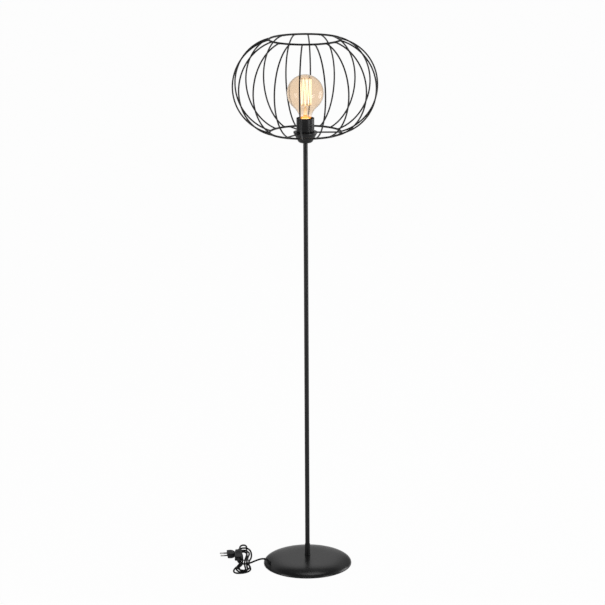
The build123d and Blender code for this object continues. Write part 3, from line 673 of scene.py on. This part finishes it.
# the plug's flat moulded body, extruded back from its face
plug = {
    "nose": (-0.1935, 0.0513, 0.0075),
    "yaw": 7.8,
    "face": 0.025,
    "half": (0.0158, 0.00685),
    "backs": [                        # distance from the nose, half width, half thickness
        (0.0242, 0.0163, 0.00685),
        (0.0190, 0.0174, 0.00685),
        (0.0130, 0.0176, 0.00685),
        (0.0090, 0.0158, 0.0067),
        (0.0058, 0.0118, 0.0064),
        (0.0038, 0.0086, 0.0058),
        (0.0018, 0.0056, 0.0050),
        (0.0003, 0.0048, 0.0046),
    ],
    "bevel": 0.00286,
    "slant": 1e-4,                   # edges that run back further than this are rounded
}


def plugMoulding(values):
    mould = bmesh.new()
    wide, tall = values["half"]
    outline = ((-wide, -tall), (wide, -tall), (wide, tall), (-wide, tall))
    front = mould.faces.new([mould.verts.new((values["face"], y, z)) for y, z in outline])
    back = front
    for distance, wide, tall in values["backs"]:
        grown = bmesh.ops.extrude_face_region(mould, geom=[back])["geom"]
        old = back
        back = next(item for item in grown if isinstance(item, bmesh.types.BMFace))
        for vertex in back.verts:
            y, z = math.copysign(wide, vertex.co.y), math.copysign(tall, vertex.co.z)
            vertex.co = Vector((distance, y, z))
        if old is not front:
            bmesh.ops.delete(mould, geom=[old], context="FACES_ONLY")
    bmesh.ops.recalc_face_normals(mould, faces=mould.faces)
    long = []
    for edge in mould.edges:
        first, second = edge.verts
        if len(edge.link_faces) == 2 and abs(first.co.x - second.co.x) > values["slant"]:
            long.append(edge)
    bmesh.ops.bevel(
        mould,
        geom=long,
        offset=values["bevel"],
        segments=3,
        profile=0.5,
        affect="EDGES",
        material=-1,
    )
    bmesh.ops.recalc_face_normals(mould, faces=mould.faces)
    turn = Matrix.Rotation(math.radians(180 + values["yaw"]), 4, "Z")
    place = Matrix.Translation(values["nose"]) @ turn
    bmesh.ops.transform(mould, matrix=place, verts=mould.verts)
    for face in mould.faces:
        face.smooth = True
    piece = madePiece("plugMoulding", mould)
    rounding = piece.modifiers.new("rounding", "SUBSURF")
    rounding.levels = 2
    rounding.render_levels = 2
    return dress(piece, "black_plastic")


plugBody = plugMoulding(plug)
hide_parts("plug_body")

print("cords laid")

# carried-over nodes get their finishes
for pair in frame["record"]["subparts"]:
    mesh = nodes[pair["node"]].data
    mesh.materials.clear()
    mesh.materials.append(finishes[pair["material_slot"]])
print("nodes finished")


# turned pieces
def layProfile(shape, profile):
    corners = [shape.verts.new((radius, 0, height)) for radius, height in profile]
    edges = [shape.edges.new(pair) for pair in zip(corners, corners[1:])]
    return corners + edges


def spinRound(shape, profile, steps):
    bmesh.ops.spin(
        shape,
        geom=layProfile(shape, profile),
        axis=(0, 0, 1),
        cent=(0, 0, 0),
        angle=2 * math.pi,
        steps=steps,
        use_merge=True,
    )


def spun(name, profile, steps, wall=0.0):
    shape = bmesh.new()
    spinRound(shape, profile, steps)
    bmesh.ops.remove_doubles(shape, verts=shape.verts, dist=1e-6)
    bmesh.ops.recalc_face_normals(shape, faces=shape.faces)
    if wall:
        bmesh.ops.solidify(shape, geom=shape.faces[:], thickness=wall)
    for face in shape.faces:
        face.smooth = True
    return madePiece(name, shape)


bulb = {
    "ball": 0.0475,
    "centre": 1.28,
    "neck": 0.0124,
    "neckFoot": 1.209,
    "capTop": 1.214,
    "mouth": 1.2165,
    "flare": 0.0456,
    "flareStart": 0.0146,
    "flareSteps": 12,
    "ballSteps": 28,
    "corners": 96,
    "wall": 0.0008,
}


def bulbProfile(values):
    reach = values["flareStart"] + values["flare"]
    flareLevel = values["centre"] - math.sqrt((values["ball"] + values["flare"]) ** 2 - reach**2)
    profile = [(values["neck"], values["neckFoot"]), (values["neck"], values["capTop"])]
    rise = values["mouth"] - flareLevel
    start = math.atan2(rise, -math.sqrt(values["flare"] ** 2 - rise**2))
    end = math.atan2(values["centre"] - flareLevel, -reach)
    steps = values["flareSteps"]
    for step in range(steps + 1):
        turn = start + (end - start) * step / steps
        radius = reach + values["flare"] * math.cos(turn)
        profile.append((radius, flareLevel + values["flare"] * math.sin(turn)))
    low = end - math.pi
    steps = values["ballSteps"]
    for step in range(1, steps + 1):
        turn = low + (math.pi / 2 - low) * step / steps
        radius = 0 if step == steps else values["ball"] * math.cos(turn)
        profile.append((radius, values["centre"] + values["ball"] * math.sin(turn)))
    return profile


bulbGlass = spun("bulbGlass", bulbProfile(bulb), bulb["corners"], bulb["wall"])
dress(bulbGlass, "amber_glass", "bulb")
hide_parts("bulb_glass")
print("bulb blown")

# the stem: a flared foot drawn up into a thin rod, pinched at its top,
# with a glass bead for each row of hooks
stem = {
    "foot": [
        (0.0114, 1.2105),
        (0.0113, 1.2118),
        (0.0098, 1.2134),
        (0.0075, 1.2160),
        (0.0056, 1.2196),
        (0.0046, 1.2240),
        (0.0040, 1.2290),
    ],
    "pinch": [(0.0036, 1.2340), (0.0031, 1.2374), (0.0027, 1.2400), (0.0020, 1.2418), (0.0014, 1.2432)],
    "rod": 0.0014,
    "bead": 0.0023,
    "beadLevels": (1.2500, 1.3160),
    "beadSteps": 7,
    "tipShare": 0.6,
    "tipRise": 0.0002,
    "corners": 40,
}


def stemProfile(values):
    profile = [(0, values["foot"][0][1])] + values["foot"] + values["pinch"]
    half = values["beadSteps"] // 2
    for level in values["beadLevels"]:
        for step in range(-half, half + 1):
            turn = step * math.pi / values["beadSteps"]
            radius = max(values["rod"], values["bead"] * math.cos(turn))
            profile.append((radius, level + values["bead"] * math.sin(turn)))
    top = profile[-1][1]
    profile[-1] = (values["rod"] * values["tipShare"], top)
    return profile + [(0, top + values["tipRise"])]


stemPiece = dress(spun("bulbStem", stemProfile(stem), stem["corners"]), "stem_glass", "bulb")
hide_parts("bulb_stem")

# the filament hangs in long narrow bends between two rows of hooks
wire = {
    "radius": 0.0152,
    "low": 1.250,
    "high": 1.316,
    "strands": 10,
    "thick": 0.0013,
    "bendTurn": 0.05,
    "bendDrop": 0.0015,
    "hook": 0.0006,
    "curl": 0.0013,
    "rise": 0.0012,
    "arm": [(0.0016, 0.0), (0.006, 0.8), (0.011, 1.0)],          # from the axis, share of the rise
    "eye": [(-1.0, 0.3), (0.0, -0.5), (0.7, 0.0), (0.5, 0.9), (-0.3, 0.9)],     # shares of curl and rise
}


def roundPlace(radius, turn, level):
    return (radius * math.cos(turn), radius * math.sin(turn), level)


def filamentPoints(values):
    points = []
    bend, drop = values["bendTurn"], values["bendDrop"]
    for number in range(values["strands"]):
        for share, level, inset in ((0.0, values["high"], -drop), (0.5, values["low"], drop)):
            middle = (number + share) * 2 * math.pi / values["strands"]
            points.append(roundPlace(values["radius"], middle - bend, level + inset))
            points.append(roundPlace(values["radius"], middle, level))
            points.append(roundPlace(values["radius"], middle + bend, level + inset))
    return points


def hookPoints(values, turn, level, rise):
    places = [(radius, rise * share) for radius, share in values["arm"]]
    for past, share in values["eye"]:
        places.append((values["radius"] + values["curl"] * past, rise * share))
    return [roundPlace(radius, turn, level + height) for radius, height in places]


glowWire = wireCurve("filament", [filamentPoints(wire)], wire["thick"], ringSteps=2, bendSteps=3)
filament = dress(glowWire, "filament", "bulb")
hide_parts("bulb_filament")
hooks = []
for number in range(wire["strands"]):
    for share, level, rise in ((0.0, wire["high"], wire["rise"]), (0.5, wire["low"], -wire["rise"])):
        hooks.append(hookPoints(wire, (number + share) * 2 * math.pi / wire["strands"], level, rise))
hookWire = wireCurve("filamentHooks", hooks, wire["hook"], ringSteps=2, bendSteps=2)
supports = dress(hookWire, "support_wire", "bulb")
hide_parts("bulb_supports")
print("filament hung")

# the cap's thread is rolled into the sheet, one wave a turn
cap = {
    "foot": [(0.0102, 1.1910), (0.0113, 1.1914), (0.0119, 1.1922), (0.0121, 1.1930)],
    "collar": [
        (0.0123, 1.2102),
        (0.0131, 1.2108),
        (0.0132, 1.2116),
        (0.0132, 1.2138),
        (0.0130, 1.2140),
        (0.0126, 1.2140),
    ],
    "pitch": 0.00363,
    "root": 0.0122,
    "crest": 0.0132,
    "turns": 3.75,
    "low": 1.1930,
    "waveSteps": 8,
    "steps": 36,
    "wall": 0.0003,
}


def capShell(values):
    shape = bmesh.new()
    for profile in (values["foot"], values["collar"]):
        spinRound(shape, profile, values["steps"])
    swing = (values["crest"] - values["root"]) / 2
    wave = []
    for step in range(values["waveSteps"] + 1):
        share = step / values["waveSteps"]
        radius = values["root"] + swing * (1 - math.cos(2 * math.pi * share))
        wave.append((radius, values["low"] + values["pitch"] * share))
    bmesh.ops.spin(
        shape,
        geom=layProfile(shape, wave),
        axis=(0, 0, 1),
        cent=(0, 0, 0),
        dvec=(0, 0, values["pitch"] / values["steps"]),
        angle=2 * math.pi * values["turns"],
        steps=round(values["turns"] * values["steps"]),
    )
    bmesh.ops.remove_doubles(shape, verts=shape.verts, dist=2e-5)
    bmesh.ops.recalc_face_normals(shape, faces=shape.faces)
    for face in shape.faces:
        face.smooth = True
    piece = madePiece("threadedCap", shape)
    sheet = piece.modifiers.new("sheet", "SOLIDIFY")
    sheet.thickness = values["wall"]
    sheet.offset = -1
    return dress(piece, "cap_metal", "bulb")


capPiece = capShell(cap)
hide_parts("bulb_cap")
print("cap threaded")

# weld beads where wire meets wire
weld = {
    "ring": 0.092,
    "levels": (1.1783, 1.4175),
    "count": 18,
    "phase": 5.7,
    "spokes": (0.0, 117.0, 237.0),
    "spokeLevel": 1.178,
    "hubEdge": 0.0315,
    "radius": 0.0029,
    "long": 1.25,
    "ribOut": 0.0006,
    "spokeIn": 0.001,
    "swell": (0.94, 0.05, 2.4),      # the middling height, how far it varies, and how fast
    "hubSwell": 0.72,
}


def weldBeads(values):
    shape = bmesh.new()

    def bead(angle, out, level, swell):
        turn = Matrix.Rotation(math.radians(angle), 4, "Z")
        size = Matrix.Diagonal((1.0, values["long"], swell, 1))
        place = turn @ Matrix.Translation((out, 0, level)) @ size
        bmesh.ops.create_uvsphere(shape, u_segments=8, v_segments=6, radius=values["radius"], matrix=place)

    middling, spread, pace = values["swell"]
    for level in values["levels"]:
        for number in range(values["count"]):
            angle = values["phase"] + number * 360 / values["count"]
            swell = middling + spread * math.sin(number * pace)
            bead(angle, values["ring"] + values["ribOut"], level, swell)
    for angle in values["spokes"]:
        bead(angle, values["ring"] - values["spokeIn"], values["spokeLevel"], 1.0)
        bead(angle, values["hubEdge"], values["spokeLevel"], values["hubSwell"])
    for face in shape.faces:
        face.smooth = True
    return dress(madePiece("weldBeads", shape), "black_paint")


beads = weldBeads(weld)
print("joints welded")

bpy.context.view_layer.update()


# plain white studio
studio = {
    "floor": 60.0,
    "aim": (0, 0, 0.9),              # what every soft box faces
    "floorTone": (0.86, 0.86, 0.86, 1),
    "whiteShare": 0.965,
    "floorShine": 0.6,               # what the lamp's gloss sees of the floor
    "skyDiffuse": 0.55,
    "skyRise": (0.34, 0.66, 0.42, 1.0),          # the gloss sees the sky brighten upwards
    "skyShine": (0.66, 0.76, 1.0, 0.16),         # and then darken overhead
    "skyFront": (-0.8, 0.3, 0.45, 1.0),          # it is darker in front
    "skySides": (0.015, 0.06, 1.0, 0.5),         # and to the sides
    "softBoxes": [                   # name, place, width, height, power
        ("boxLeft", (-2.8, -1.6, 0.7), 1.2, 1.4, 16),
        ("boxRight", (2.8, 0.9, 0.7), 1.5, 1.4, 22),
        ("boxFront", (2.75, -2.4, 0.5), 1.1, 1.0, 19),
        ("boxTop", (0.4, 0.3, 3.9), 1.6, 1.6, 16),
    ],
}


def buildStudio(values):
    shape = bmesh.new()
    bmesh.ops.create_grid(shape, x_segments=1, y_segments=1, size=values["floor"] / 2)
    floor = madePiece("studioFloor", shape)
    scene.collection.objects.link(floor)

    def lookedAt(finish):                         # by the camera, straight or through glass
        camera = finish.add("ShaderNodeLightPath", output="Is Camera Ray")
        return camera.larger(finish.add("ShaderNodeLightPath", output="Is Transmission Ray"))

    finish = Finish("studioFloor")
    seen = lookedAt(finish)
    shine = finish.add("ShaderNodeLightPath", output="Is Glossy Ray")
    matt = finish.add("ShaderNodeBsdfDiffuse", None, {"Color": values["floorTone"]})
    glow = seen + (1 - seen) * values["floorShine"]
    white = finish.add("ShaderNodeEmission", None, {"Color": (1, 1, 1, 1), "Strength": glow})
    share = seen.larger(shine) * values["whiteShare"]
    both = finish.add("ShaderNodeMixShader", None, {0: share, 1: matt, 2: white})
    finish.tree.links.new(both.socket, finish.end.inputs["Surface"])
    floor.data.materials.append(finish.material)

    sky = Finish("studioSky", world=True)
    seen = lookedAt(sky)
    shine = sky.add("ShaderNodeLightPath", output="Is Glossy Ray")
    side, front, height = sky.part("X"), sky.part("Y"), sky.part("Z")
    level = sky.limit(height, *values["skyRise"]) * sky.limit(height, *values["skyShine"])
    level = level * sky.limit(front, *values["skyFront"]) * sky.limit(side * side, *values["skySides"])
    strength = seen + (1 - seen) * (shine * level + (1 - shine) * values["skyDiffuse"])
    light = sky.add("ShaderNodeBackground", None, {"Color": (1, 1, 1, 1), "Strength": strength})
    sky.tree.links.new(light.socket, sky.end.inputs["Surface"])
    scene.world = sky.material

    for name, place, width, height, power in values["softBoxes"]:
        lamp = bpy.data.lights.new(name, "AREA")
        lamp.shape = "RECTANGLE"
        lamp.size = width
        lamp.size_y = height
        lamp.energy = power
        holder = bpy.data.objects.new(name, lamp)
        scene.collection.objects.link(holder)
        holder.visible_camera = False             # the lamps don't show, nor through the bulb
        holder.visible_transmission = False
        holder.location = place
        aim = Vector(values["aim"]) - Vector(place)
        holder.rotation_mode = "QUATERNION"
        holder.rotation_quaternion = aim.to_track_quat("-Z", "Y")


buildStudio(studio)
scene.view_settings.view_transform = "Standard"
print("studio lit")
